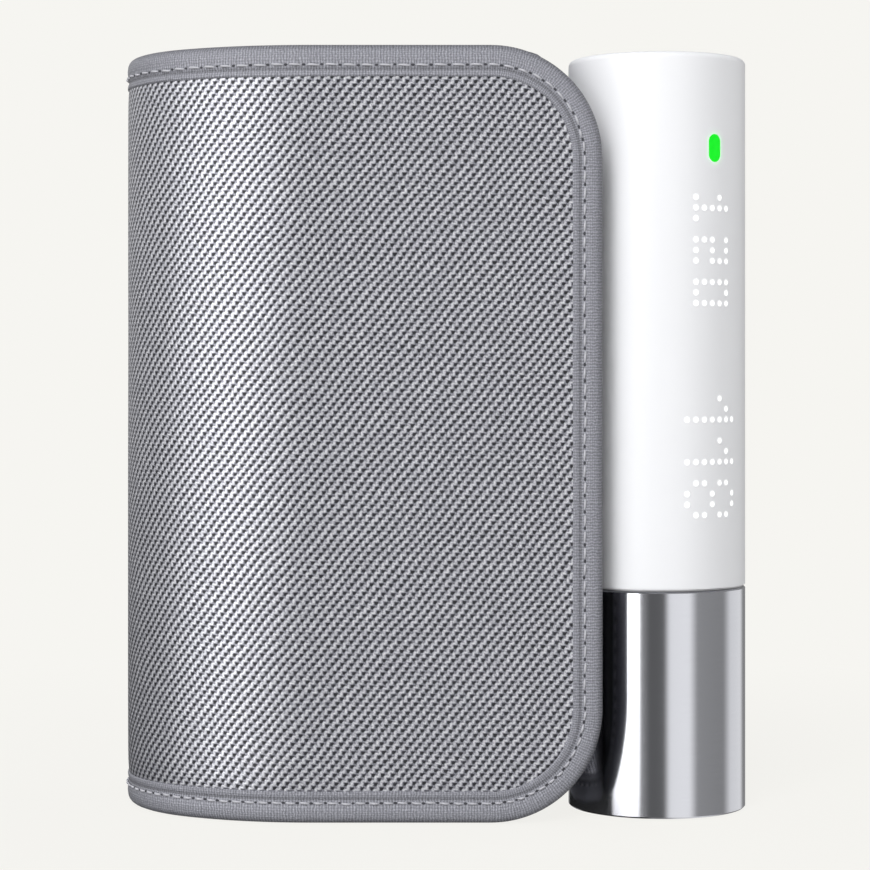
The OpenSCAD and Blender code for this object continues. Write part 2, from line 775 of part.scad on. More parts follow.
flap_fabric();
flap_foam();
flap_lining();
flap_binding();
hook_patch();
band_fabric();
band_foam();
band_lining();
top_binding();
bottom_binding();
end_binding();
loop_patch();
air_bladder();
saddle_backplate();
cuff_saddle();
saddle_screws();
air_nipple();
nipple_seal();
upper_housing();
steel_sleeve();
seam_ring();
top_cap();
start_button();
button_board();
button_switch();
chassis();
battery();
main_board();
shield_can();
pressure_sensor();
air_manifold();
air_hoses();
release_valve();
pump_head();
pump_motor();
pump_dampers();
display_board();
display_leds();
display_diffuser();
status_light();
socket_board();
charge_socket();
base_cap();
base_screws();
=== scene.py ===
import math
import bpy
import numpy as np
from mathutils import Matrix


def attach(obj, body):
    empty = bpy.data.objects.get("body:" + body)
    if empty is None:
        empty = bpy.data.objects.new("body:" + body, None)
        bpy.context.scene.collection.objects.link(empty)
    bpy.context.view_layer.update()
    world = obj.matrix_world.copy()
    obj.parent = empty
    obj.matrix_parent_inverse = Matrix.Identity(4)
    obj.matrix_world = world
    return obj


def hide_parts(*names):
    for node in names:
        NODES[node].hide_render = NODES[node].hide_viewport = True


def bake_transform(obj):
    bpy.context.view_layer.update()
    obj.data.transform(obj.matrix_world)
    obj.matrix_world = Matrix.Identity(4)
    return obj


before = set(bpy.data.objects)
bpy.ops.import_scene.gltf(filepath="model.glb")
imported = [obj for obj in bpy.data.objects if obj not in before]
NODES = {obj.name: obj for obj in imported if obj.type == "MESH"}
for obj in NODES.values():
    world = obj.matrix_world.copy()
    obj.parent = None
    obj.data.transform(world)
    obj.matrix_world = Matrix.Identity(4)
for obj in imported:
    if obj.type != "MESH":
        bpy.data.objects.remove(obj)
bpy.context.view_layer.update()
MM = 0.001
rng = np.random.default_rng(7)

# ---------------------------------------------------------------- the band's path, in millimetres
ROLL_D = 61.0           # depth of the roll
BAND_H = 150.0          # height of the roll, the band's width
BAND_T = 4.4            # thickness of the band with all its layers
FREE_X = 32.9           # edge of the free end
FRONT_X = -24.1         # where the straight runs meet the curves on the left
SIDE_X = 22.0           # outer face of the band beside the tube
TURN_GAP = 0.3
INNER_END_GAP = 1.0     # from the inner end to the bend before the tube
SIDE_R = 26.5           # bend behind the tube
NEAR_R = 14.0           # bend in front of the tube
SHOULDER_R = 48.0       # the slower curve on each side of the left bend
BEND_REACH = 38.3       # from FRONT_X to the far left of the roll
CORNER_R = 22.0         # corners of the flap
RISE = SHOULDER_R - ROLL_D / 2
BEND_R = SHOULDER_R - (RISE ** 2 + (SHOULDER_R - BEND_REACH) ** 2) / (2 * (SHOULDER_R - BEND_REACH))
SHOULDER_A = math.degrees(math.atan2(BEND_REACH - BEND_R, RISE))
PITCH = BAND_T + TURN_GAP
# (turn in degrees, radius) of a bend, or (0, length) of a run, from the free end to the inner one
STRETCHES = [
    (0, FREE_X - FRONT_X), (SHOULDER_A, SHOULDER_R), (90 - SHOULDER_A, BEND_R),
    (90 - SHOULDER_A, BEND_R), (SHOULDER_A, SHOULDER_R), (0, SIDE_X - SIDE_R - FRONT_X),
    (90, SIDE_R), (0, ROLL_D - PITCH - SIDE_R - NEAR_R), (90, NEAR_R), (0, SIDE_X - NEAR_R - FRONT_X),
    (SHOULDER_A, SHOULDER_R - PITCH), (180 - 2 * SHOULDER_A, BEND_R - PITCH),
    (SHOULDER_A, SHOULDER_R - PITCH), (0, SIDE_X - SIDE_R - FRONT_X - INNER_END_GAP)]
INNER_FRONT = 9         # the stretch under the flap, which carries the loop patch


def path_starts():
    """Where each stretch starts: (length so far, x, y, heading, turn, radius)."""
    found, s, x, y, h = [], 0.0, FREE_X, -ROLL_D / 2, 180.0
    for turn, r in STRETCHES:
        found.append((s, x, y, h, turn, r))
        if turn:
            a = math.radians(h - 90)
            cx, cy = x + r * math.cos(a), y + r * math.sin(a)
            b = math.radians(h + 90 - turn)
            x, y, h = cx + r * math.cos(b), cy + r * math.sin(b), h - turn
            s += math.radians(turn) * r
        else:
            a = math.radians(h)
            x, y = x + r * math.cos(a), y + r * math.sin(a)
            s += r
    found.append((s, x, y, h, 0, 1e9))
    return found


STARTS = path_starts()
S_SPLIT = STARTS[6][0] - 1.0    # where the flap's sheets give way to the band's
S_END = STARTS[-1][0]


def at(s, d):
    """x and y of points at a length along the band and a depth inside its outer face."""
    s, d = np.broadcast_arrays(np.asarray(s, float), np.asarray(d, float))
    x, y = np.zeros(s.shape), np.zeros(s.shape)
    for i, (s0, px, py, h, turn, r) in enumerate(STARTS[:-1]):
        s1 = STARTS[i + 1][0]
        m = (s >= s0) if i == len(STRETCHES) - 1 else (s >= s0) & (s < s1)
        if i == 0:
            m = s < s1
        if not m.any():
            continue
        if turn:
            n = math.radians(h - 90)
            cx, cy = px + r * math.cos(n), py + r * math.sin(n)
            a = math.radians(h + 90) - (s[m] - s0) / r
            x[m], y[m] = cx + (r - d[m]) * np.cos(a), cy + (r - d[m]) * np.sin(a)
        else:
            a, n = math.radians(h), math.radians(h - 90)
            x[m] = px + (s[m] - s0) * math.cos(a) + d[m] * math.cos(n)
            y[m] = py + (s[m] - s0) * math.sin(a) + d[m] * math.sin(n)
    return x, y


# ---------------------------------------------------------------- mesh helpers
def mesh_object(name, points, faces, material, uv=None):
    """A smooth mesh from points in millimetres, with a UV map in metres along the surface."""
    me = bpy.data.meshes.new(name)
    me.from_pydata([tuple(p) for p in np.asarray(points) * MM], [], [tuple(int(i) for i in f) for f in faces])
    if uv is not None:
        layer = me.uv_layers.new(name="UVMap")
        index = np.zeros(len(me.loops), int)
        me.loops.foreach_get("vertex_index", index)
        layer.data.foreach_set("uv", (np.asarray(uv)[index] * MM).astype(np.float32).ravel())
    me.polygons.foreach_set("use_smooth", [True] * len(me.polygons))
    me.update()
    ob = bpy.data.objects.new(name, me)
    bpy.context.scene.collection.objects.link(ob)
    ob.data.materials.append(material)
    return ob


def grid_faces(rows, cols, flip=False):
    faces = []
    for i in range(rows - 1):
        for j in range(cols - 1):
            a = i * cols + j
            faces.append((a, a + cols, a + cols + 1, a + 1) if flip else (a, a + 1, a + cols + 1, a + cols))
    return faces


def lengths_along(points):
    """How far along a polyline each of its points lies."""
    return np.concatenate([[0], np.cumsum(np.hypot(*np.diff(np.asarray(points, float), axis=0).T))])


def wave(s, z):
    """Slow unevenness of the hand-wound band, within one unit."""
    return (0.5 * np.sin(s / 17.0 + z / 31.0) + 0.3 * np.sin(s / 9.5 - z / 13.0)
            + 0.2 * np.sin(z / 7.3 + s / 23.0))


# ---------------------------------------------------------------- cuff: shapes across the band
# one face of the tape, from its inner edge to the fold: (distance in from the band's edge, depth)
TAPE_FACE = [(6.3, 0.70), (6.24, 0.36), (6.08, 0.15), (5.85, 0.09), (5.6, 0.12), (5.3, 0.16), (5.0, 0.28),
             (4.75, 0.37), (4.5, 0.28), (4.2, 0.18), (3.7, 0.14), (3.2, 0.08), (2.8, 0.07), (2.5, 0.11)]
GROOVE = 7              # the point of TAPE_FACE that lies deepest, where the seam draws the tape in


def tape_profile():
    """The folded tape across the band's edge, outer face first."""
    fold = []
    for a in range(105, 256, 15):
        c, s = math.cos(math.radians(a)), math.sin(math.radians(a))
        c, s = (math.copysign(abs(q) ** (2.0 / 2.15), q) for q in (c, s))
        fold.append((2.35 + 1.95 * c, BAND_T / 2 - 2.06 * s))
    return np.array(TAPE_FACE + fold + [(w, BAND_T - d) for w, d in TAPE_FACE[::-1]])


PROFILE = tape_profile()
ACROSS = lengths_along(PROFILE)
GROOVES = (float(ACROSS[GROOVE]), float(ACROSS[-1 - GROOVE]))


# ---------------------------------------------------------------- node helpers
class Tree:
    """A material's node tree, with short ways to add and link nodes."""

    def __init__(self, name):
        self.mat = bpy.data.materials.new(name)
        self.mat.use_nodes = True
        self.t = self.mat.node_tree
        self.bsdf = next(n for n in self.t.nodes if n.type == "BSDF_PRINCIPLED")
        self.out = next(n for n in self.t.nodes if n.type == "OUTPUT_MATERIAL")

    def node(self, kind, **props):
        n = self.t.nodes.new(kind)
        for k, v in props.items():
            setattr(n, k, v)
        return n

    def put(self, socket, value):
        if hasattr(value, "is_output") or isinstance(value, bpy.types.NodeSocket):
            self.t.links.new(value, socket)
        elif value is not None:
            socket.default_value = value

    def math(self, op, a, b=None, c=None):
        n = self.node("ShaderNodeMath", operation=op)
        for i, v in enumerate((a, b, c)):
            self.put(n.inputs[i], v)
        return n.outputs[0]

    def swing(self, value, size):
        """A value from 0 to 1, spread evenly about 0 over the given size."""
        return self.math("MULTIPLY", self.math("SUBTRACT", value, 0.5), size)

    def mix(self, f, a, b):
        n = self.node("ShaderNodeMix", data_type="RGBA")
        self.put(n.inputs[0], f)
        self.put(n.inputs[6], a)
        self.put(n.inputs[7], b)
        return n.outputs[2]

    def noise(self, vector, scale, detail=2.0, rough=0.5):
        n = self.node("ShaderNodeTexNoise")
        self.put(n.inputs["Vector"], vector)
        n.inputs["Scale"].default_value = scale
        n.inputs["Detail"].default_value = detail
        n.inputs["Roughness"].default_value = rough
        return n.outputs[0]

    def ramp(self, value, stops):
        n = self.node("ShaderNodeValToRGB")
        self.put(n.inputs[0], value)
        while len(n.color_ramp.elements) < len(stops):
            n.color_ramp.elements.new(0.5)
        for e, (p, c) in zip(n.color_ramp.elements, stops):
            e.position = p
            e.color = (c, c, c, 1) if isinstance(c, (int, float)) else (*c, 1)
        return n.outputs[0]

    def bump(self, height, strength, distance):
        n = self.node("ShaderNodeBump")
        self.put(n.inputs["Height"], height)
        n.inputs["Strength"].default_value = strength
        n.inputs["Distance"].default_value = distance
        self.put(self.bsdf.inputs["Normal"], n.outputs[0])

    def split(self, vector):
        n = self.node("ShaderNodeSeparateXYZ")
        self.put(n.inputs[0], vector)
        return n.outputs[0], n.outputs[1], n.outputs[2]

    def uv_mm(self):
        """The UV map in millimetres, as separate x and y."""
        x, y, _ = self.split(self.node("ShaderNodeUVMap", uv_map="UVMap").outputs[0])
        return self.math("MULTIPLY", x, 1000.0), self.math("MULTIPLY", y, 1000.0)

    def vector(self, x, y, z=0.0):
        n = self.node("ShaderNodeCombineXYZ")
        for i, v in enumerate((x, y, z)):
            self.put(n.inputs[i], v)
        return n.outputs[0]

    def set(self, **values):
        for k, v in values.items():
            self.bsdf.inputs[k.replace("_", " ")].default_value = v


def wrapped(t, value, period):
    """The value less its nearest multiple of the period, and which multiple that is."""
    turns = t.math("ADD", t.math("DIVIDE", value, period), 0.5)
    return t.math("MULTIPLY", t.math("SUBTRACT", t.math("FRACT", turns), 0.5), period), t.math("FLOOR", turns)


def hump(t, value, centre, half, power=2.0):
    """1 at the centre, falling to 0 at the half width."""
    d = t.math("DIVIDE", t.math("ABSOLUTE", t.math("SUBTRACT", value, centre)), half)
    return t.math("SUBTRACT", 1.0, t.math("POWER", t.math("MINIMUM", d, 1.0), power))


# the weave in millimetres: height of a row, shift from row to row, spacing in a row
ROW, SHIFT, SPAN = 0.85, 0.735, 1.88


def twill_material(name):
    """Twill: rows of holes, each row shifted against the last, with a warp float beside each hole."""
    t = Tree(name)
    u, v = t.uv_mm()
    place = t.vector(u, v)
    u = t.math("ADD", u, t.swing(t.noise(place, 0.10, 1.0), 1.0))
    v = t.math("ADD", v, t.swing(t.noise(t.vector(v, u), 0.09, 1.0), 0.8))
    u = t.math("ADD", u, t.swing(t.noise(place, 1.1, 1.0), 0.22))
    fibre = t.noise(t.vector(t.math("MULTIPLY", u, 5.5), t.math("MULTIPLY", v, 2.4)), 1.0, 2.0, 0.6)
    thread = t.noise(t.vector(t.math("MULTIPLY", u, 1.6), t.math("MULTIPLY", v, 6.0)), 1.0, 2.0, 0.6)

    def node_row(lift, plus):
        """The row's number, and the place relative to its nodes: up, then across."""
        j = t.math("ADD", t.math("FLOOR", t.math("DIVIDE", t.math("ADD", v, lift), ROW)), plus)
        dy = t.math("SUBTRACT", v, t.math("MULTIPLY", j, ROW))
        return j, dy, t.math("SUBTRACT", u, t.math("MULTIPLY", j, SHIFT))

    def rand(i, j, salt):
        n = t.node("ShaderNodeTexWhiteNoise", noise_dimensions="3D")
        t.put(n.inputs["Vector"], t.vector(i, j, salt))
        return n.outputs[0]

    # the floats: upright strokes just right of and below each hole, reaching over two rows
    floats = None
    for plus in (1.0, 2.0):
        j, dy, x = node_row(0.08, plus)
        x, i = wrapped(t, t.math("SUBTRACT", x, t.math("MULTIPLY_ADD", dy, 0.06, 0.46)), SPAN)
        f = t.math("MULTIPLY", t.math("POWER", hump(t, x, 0.0, 0.30), 0.7), hump(t, dy, -0.68, 0.66, 4.0))
        f = t.math("MULTIPLY", f, t.math("MULTIPLY_ADD", rand(i, j, 1.0), 0.36, 0.70))
        f = t.math("MULTIPLY", f, t.math("MULTIPLY_ADD", dy, 0.10, 1.06))
        floats = f if floats is None else t.math("MAXIMUM", floats, f)
    # the holes, and the weft that shows between two floats
    j, dy, x = node_row(0.4675, 0.0)
    hx, hi = wrapped(t, t.math("SUBTRACT", x, t.math("MULTIPLY", dy, 0.22)), SPAN)
    wide = t.math("MULTIPLY_ADD", dy, 0.42, 0.37)
    hole = t.math("MINIMUM", t.math("DIVIDE", t.math("ABSOLUTE", hx), wide), 1.0)
    hole = t.math("SUBTRACT", 1.0, t.math("MULTIPLY", hole, hole))
    hole = t.math("MULTIPLY", hole, hump(t, dy, 0.02, 0.36))
    hole = t.math("MULTIPLY", t.math("POWER", hole, 0.8), t.math("MULTIPLY_ADD", rand(hi, j, 2.0), 0.5, 0.80))
    bx, bi = wrapped(t, t.math("SUBTRACT", x, 0.80), SPAN)
    weft = t.math("MULTIPLY", hump(t, bx, 0.0, 0.56, 4.0), hump(t, dy, -0.20, 0.26))
    weft = t.math("MULTIPLY", weft, t.math("MULTIPLY_ADD", rand(bi, j, 3.0), 0.4, 0.72))
    top = t.math("MAXIMUM", floats, weft)
    tone = t.math("MULTIPLY_ADD", top, 0.31, 0.53)
    # painted shade: the holes are real gaps in the weave, and their near-black colour is painted shade inside
    # them
    tone = t.math("SUBTRACT", tone, t.math("MULTIPLY", hole, t.math("MULTIPLY_ADD", top, -0.25, 0.62)))
    tone = t.math("ADD", tone, t.swing(fibre, 0.62))
    tone = t.math("ADD", tone, t.swing(thread, 0.44))
    colour = t.ramp(tone, [
        (0.0, (0.004, 0.004, 0.006)), (0.2, (0.021, 0.021, 0.028)), (0.4, (0.110, 0.111, 0.131)),
        (0.6, (0.345, 0.347, 0.388)), (0.8, (0.690, 0.692, 0.735)), (1.0, (0.95, 0.95, 0.96))])
    t.put(t.bsdf.inputs["Base Color"], colour)
    t.put(t.bsdf.inputs["Metallic"], t.math("MULTIPLY", t.ramp(tone, [(0.20, 0.0), (0.55, 1.0)]), 0.74))
    t.set(Roughness=0.44, Specular_IOR_Level=0.5)
    height = t.math("SUBTRACT", t.math("MULTIPLY_ADD", fibre, 0.2, top), t.math("MULTIPLY", hole, 0.6))
    t.bump(height, 0.22, 0.00018)
    return t.mat


RIB, CROSS = 0.585, 0.44    # spacing in millimetres of the tape's ribs and of its lengthwise threads


def tape_material(name, base):
    """Ribbed grosgrain: fine, slightly uneven ribs across the tape, with painted shade in the groove and on
    the fold.
    """
    t = Tree(name)
    u, v = t.uv_mm()
    bend = t.swing(t.noise(t.vector(u, v), 0.8), 0.75)
    rib = t.math("SINE", t.math("MULTIPLY", t.math("ADD", u, bend), 2 * math.pi / RIB))
    cross = t.math("SINE", t.math("MULTIPLY", t.math("MULTIPLY_ADD", bend, 0.6, v), 2 * math.pi / CROSS))
    grain = t.noise(t.vector(t.math("MULTIPLY", u, 3.2), t.math("MULTIPLY", v, 2.6)), 1.0, 3.0, 0.65)
    h = t.math("ADD", t.math("MULTIPLY", rib, 0.42), t.math("MULTIPLY", cross, 0.20))
    h = t.math("ADD", h, t.swing(grain, 2.6))
    tone = t.math("MULTIPLY_ADD", h, 0.28, 0.50)
    # painted shade: darker along each groove, where the seam draws the tape in
    for groove in GROOVES:
        tone = t.math("SUBTRACT", tone, t.math("MULTIPLY", hump(t, v, groove, 0.42), 0.20))
    # painted shade: darker round the fold at the band's edge
    tone = t.math("SUBTRACT", tone, t.math("MULTIPLY", hump(t, v, float(ACROSS[-1]) / 2, 2.4), 0.16))
    low, high = tuple(c * 0.30 for c in base), tuple(min(1, c * 2.1) for c in base)
    colour = t.ramp(tone, [(0.1, low), (0.5, base), (0.9, high)])
    t.put(t.bsdf.inputs["Base Color"], colour)
    t.set(Roughness=0.48, Specular_IOR_Level=0.5, Metallic=0.15)
    t.bump(h, 0.5, 0.00012)
    return t.mat


def lining_material(name):
    """Dark smooth nylon with a fine plain weave."""
    t = Tree(name)
    u, v = t.uv_mm()
    weave = 0.5
    a, b = (t.math("SINE", t.math("MULTIPLY", q, 2 * math.pi / weave)) for q in (u, v))
    w = t.math("MULTIPLY", a, b)
    n = t.noise(t.vector(u, v), 0.12, 3.0)
    tone = t.math("ADD", t.math("MULTIPLY", w, 0.12), n)
    colour = t.ramp(tone, [(0.3, (0.018, 0.018, 0.021)), (0.7, (0.05, 0.05, 0.056))])
    t.put(t.bsdf.inputs["Base Color"], colour)
    t.set(Roughness=0.5, Sheen_Weight=0.15, Sheen_Roughness=0.4)
    t.bump(w, 0.35, 0.0001)
    return t.mat


def pile_material(name, low, high, scale):
    """Hook or loop pile."""
    t = Tree(name)
    u, v = t.uv_mm()
    vor = t.node("ShaderNodeTexVoronoi")
    t.put(vor.inputs["Vector"], t.vector(u, v))
    vor.inputs["Scale"].default_value = scale
    n = t.noise(t.vector(u, v), scale * 1.7, 3.0, 0.7)
    h = t.math("ADD", t.math("MULTIPLY", vor.outputs[0], 0.7), t.math("MULTIPLY", n, 0.6))
    t.put(t.bsdf.inputs["Base Color"], t.ramp(h, [(0.25, low), (0.8, high)]))
    t.set(Roughness=0.75, Sheen_Weight=0.3, Sheen_Roughness=0.5)
    t.bump(h, 0.9, 0.0005)
    return t.mat


def plastic_material(name, base, rough=0.4, grain=0.03, scale=900.0, wear=0.04):
    """Moulded plastic with a fine texture and slightly uneven gloss."""
    t = Tree(name)
    co = t.node("ShaderNodeTexCoord").outputs["Object"]
    fine = t.noise(co, scale)
    slow = t.noise(co, 22.0, 3.0)
    c2 = tuple(max(0.0, c * (1 - wear)) for c in base)
    t.put(t.bsdf.inputs["Base Color"], t.mix(t.ramp(slow, [(0.35, 0.0), (0.7, 1.0)]), (*base, 1), (*c2, 1)))
    t.put(t.bsdf.inputs["Roughness"], t.math("ADD", t.math("MULTIPLY", slow, 0.10), rough - 0.05))
    t.set(Specular_IOR_Level=0.5)
    t.bump(fine, grain, 0.0001)
    return t.mat


# the tube's axis and radius in millimetres
TUBE_X, TUBE_Y, TUBE_R = 44.7, -7.4, 17.7


def metal_material(name, base, rough=0.3, around=True, streak=0.3):
    """Brushed metal; the brushing runs round the tube's axis or along X."""
    t = Tree(name)
    co = t.node("ShaderNodeTexCoord").outputs["Object"]
    x, y, z = t.split(co)
    if around:
        ang = t.math("ARCTAN2", t.math("SUBTRACT", x, TUBE_X * MM), t.math("SUBTRACT", y, TUBE_Y * MM))
        v = t.vector(t.math("MULTIPLY", ang, 3.0), t.math("MULTIPLY", z, 9000.0))
    else:
        v = t.vector(*(t.math("MULTIPLY", q, size) for q, size in ((x, 150.0), (y, 6000.0), (z, 6000.0))))
    n = t.noise(v, 1.0, 2.0, 0.6)
    slow = t.noise(co, 30.0)
    c2 = tuple(c * (1 - streak) for c in base)
    t.put(t.bsdf.inputs["Base Color"], t.mix(n, (*c2, 1), (*base, 1)))
    r = t.math("ADD", t.math("MULTIPLY", n, 0.35 * rough), t.math("MULTIPLY", slow, 0.25 * rough))
    t.put(t.bsdf.inputs["Roughness"], t.math("ADD", r, 0.62 * rough))
    t.set(Metallic=1.0)
    t.bump(n, 0.04, 0.00003)
    return t.mat


def seam_material(name):
    """The ring between the two walls: pale like the upper wall, with a dark line where the steel starts."""
    t = Tree(name)
    place = t.node("ShaderNodeNewGeometry").outputs["Position"]
    f = t.ramp(t.math("MULTIPLY", t.split(place)[2], 10.0), [(0.4432, 0.0), (0.4442, 1.0)])
    pale = t.ramp(t.noise(place, 900.0), [(0.3, (0.80, 0.807, 0.83)), (0.7, (0.86, 0.867, 0.89))])
    t.put(t.bsdf.inputs["Base Color"], t.mix(f, (0.05, 0.05, 0.055, 1), pale))
    t.set(Roughness=0.4)
    return t.mat


def glow_material(name, base, colour, strength):
    """Housing plastic with painted glow (emission) where the glow attribute is high, standing for the light
    let through and spilling round the dots and the status light.
    """
    t = Tree(name)
    g = t.node("ShaderNodeAttribute", attribute_name="glow").outputs["Fac"]
    t.set(Base_Color=(*base, 1), Roughness=0.38)
    t.put(t.bsdf.inputs["Emission Color"], t.mix(g, (0, 0, 0, 1), (*colour, 1)))
    t.bsdf.inputs["Emission Strength"].default_value = strength
    return t.mat


WHITE = (0.865, 0.872, 0.895)
M = {
    "twill": twill_material("woven_fabric"),
    "tape": tape_material("binding_tape", (0.255, 0.258, 0.29)),
    "thread": plastic_material("binding_thread", (0.50, 0.50, 0.54), 0.5, 0.25, 4000.0),
    # dark discs of painted shade in the needle holes
    "hole": plastic_material("needle_hole_shade", (0.045, 0.045, 0.053), 0.8, 0.1),
    "lining": lining_material("lining_fabric"),
    "hook": pile_material("hook_tape", (0.008, 0.008, 0.01), (0.06, 0.06, 0.066), 2.2),
    "loop": pile_material("loop_tape", (0.09, 0.09, 0.1), (0.26, 0.26, 0.28), 1.4),
    "white": plastic_material("white_plastic", WHITE, 0.42, 0.02, 2500.0, wear=0.01),
    "button": plastic_material("button_plastic", (0.72, 0.73, 0.75), 0.35, 0.03, 2500.0, wear=0.05),
    "saddle": plastic_material("saddle_plastic", (0.78, 0.78, 0.79), 0.5, 0.04),
    "dark": plastic_material("base_plastic", (0.03, 0.03, 0.033), 0.5, 0.08, 1500.0, wear=0.2),
    "chassis": plastic_material("chassis_plastic", (0.09, 0.095, 0.105), 0.55, 0.06),
    "steel": metal_material("sleeve_steel", (0.605, 0.612, 0.65), 0.15, streak=0.12),
    "metal": metal_material("plain_metal", (0.72, 0.73, 0.75), 0.3, around=False),
    "screw": metal_material("screw_steel", (0.6, 0.6, 0.62), 0.35, around=False),
    "motor": metal_material("motor_steel", (0.55, 0.56, 0.57), 0.35),
    "seam": seam_material("seam_ring"),
    "rubber": plastic_material("seal_rubber", (0.02, 0.02, 0.02), 0.75, 0.12, wear=0.3),
    "board": plastic_material("board", (0.02, 0.13, 0.06), 0.35, 0.05, 700.0, wear=0.3),
    "chip": plastic_material("chip_plastic", (0.035, 0.035, 0.038), 0.55, 0.08, wear=0.2),
    "cell": plastic_material("cell_wrap", (0.05, 0.12, 0.30), 0.3, 0.03, wear=0.2),
    "clear": plastic_material("clear_plastic", (0.75, 0.76, 0.78), 0.3, 0.03, wear=0.03),
    "silicone": plastic_material("silicone", (0.70, 0.72, 0.74), 0.45, 0.05, wear=0.05),
    "led": plastic_material("led_package", (0.80, 0.79, 0.66), 0.3, 0.05, wear=0.05),
    "film": plastic_material("bladder_film", (0.06, 0.06, 0.07), 0.3, 0.1, 400.0, wear=0.2),
}

# ---------------------------------------------------------------- cuff: tape, sheets and stitches
STITCH_W = 3.95         # from the band's edge to the row of stitches
FABRIC_W = 5.3          # from the band's edge to the edge of the fabric, under the tape
TAPE_STEP = 0.75
STITCH_PITCH = 3.15


def edge_line(s0, s1, side):
    """Points along the top (side 1) or bottom (side 0) edge: length, height, and the way in."""
    n = max(2, int(abs(s1 - s0) / TAPE_STEP))
    s = np.linspace(s0, s1, n + 1)
    z = np.full(n + 1, BAND_H * side)
    nz = -1.0 if side else 1.0
    return [(a, b, 0.0, nz) for a, b in zip(s, z)]


def corner_line(side):
    """The same round a corner of the flap, from its free end to the edge."""
    r = CORNER_R
    zc = BAND_H - r if side else r
    out = []
    for a in range(0, 91, 3):
        t = math.radians(a)
        ns, nz = math.sin(t), (-math.cos(t) if side else math.cos(t))
        out.append((r - r * ns, zc - r * nz, ns, nz))
    return out


def flap_outline():
    """From the split along the top edge, round the free end and back along the bottom edge."""
    down = [(0.0, z, 1.0, 0.0) for z in np.linspace(BAND_H - CORNER_R, CORNER_R, 145)]
    return (edge_line(S_SPLIT, CORNER_R, 1) + corner_line(1)[1:-1] + down + corner_line(0)[::-1][1:-1]
            + edge_line(CORNER_R, S_SPLIT, 0))


def sweep_tape(name, line, pitch, lift=0.0):
    """The folded tape along a line: drawn in at the stitches, a little wavy, lifted off what it covers."""
    line = np.array(line)
    width, depth = PROFILE.T
    inward = np.where(depth < BAND_T / 2, 1.0, -1.0)
    at_seam = 0.12 * np.exp(-((width - STITCH_W) / 0.55) ** 2)
    on_fold = 0.46 * np.clip((4.2 - width) / 1.2, 0, 1)
    pts, uv = [], []
    for (s, z, ns, nz), along in zip(line, lengths_along(line[:, :2])):
        pull = at_seam * (0.5 + 0.5 * math.cos(2 * math.pi * along / pitch))
        soft = 0.04 * math.sin(along / 6.1) + 0.03 * math.sin(along / 2.7 + 1.0)
        d = depth + inward * (pull + 0.3 * soft - lift)
        # the fold stands a little further out along the top and the bottom than at the free end
        w = width + soft * (width > 5.5) - (1 - ns * ns) * on_fold
        x, y = at(s + w * ns, d)
        pts.extend(zip(x, y, z + w * nz))
        uv.extend(zip(np.full(len(w), along), ACROSS))
    return mesh_object(name, pts, grid_faces(len(line), len(PROFILE)), M["tape"], uv)


SHEET_STEP = 1.5
FREE_BLEND = 30.0       # length over which the sheet's cross lines go from the rounded free end to straight
EDGE_CUTS = np.array([0, 0.35, 0.8, 1.4, 2.2, 3.2, 4.6, 6.5, 9, 12])


def band_sheet(name, s0, s1, inner, material, free_end=False):
    """The outer fabric, or the lining, as one sheet between the two taped edges."""
    n = int((s1 - s0) / SHEET_STEP) + 1
    span = BAND_H - 2 * FABRIC_W
    rows = np.concatenate([EDGE_CUTS, np.linspace(15, span - 15, 44), span - EDGE_CUTS[::-1]])
    z = FABRIC_W + rows
    r = CORNER_R - FABRIC_W
    into_corner = np.maximum(CORNER_R - z, z - (BAND_H - CORNER_R))
    pts, uv = [], []
    for s in np.linspace(s0, s1, n):
        se = np.full(len(z), s)
        e = np.minimum(z - FABRIC_W, BAND_H - FABRIC_W - z)    # distance to the sheet's edge
        if free_end:
            t = np.clip(into_corner, 0, r)
            left = FABRIC_W + r - np.sqrt(np.maximum(r * r - t * t, 0))
            k = np.clip((s - s0) / (FREE_BLEND - s0), 0, 1)
            se = np.where(s < FREE_BLEND, left + k * (FREE_BLEND - left), s)
            cx, cz = np.clip(CORNER_R - se, 0, None), np.clip(into_corner, 0, None)
            to_end = np.where((cx > 0) & (cz > 0), r - np.hypot(cx, cz), np.minimum(e, se - FABRIC_W))
            e = np.minimum(e, to_end)
        rise = 1 - np.exp(-np.clip(e, 0, None) / 1.6)
        full = 0.5 - 0.36 * rise - 0.05 * wave(se, z) * rise
        d = BAND_T - full if inner else full
        x, y = at(se, d)
        pts.extend(zip(x, y, z))
        uv.extend(zip(-se, z))
    return mesh_object(name, pts, grid_faces(n, len(rows), flip=inner), material, uv)


def pitch_for(z):
    """The stitches are a little longer along the top than along the bottom."""
    return 3.5 if z > BAND_H - 12 else (2.7 if z < 12 else STITCH_PITCH)


THREAD_STEPS, THREAD_SIDES, HOLE_SIDES = 9, 7, 9
THREAD_R = 0.24
HOLE_A, HOLE_B = 0.38, 0.24     # half length and half width of a needle hole


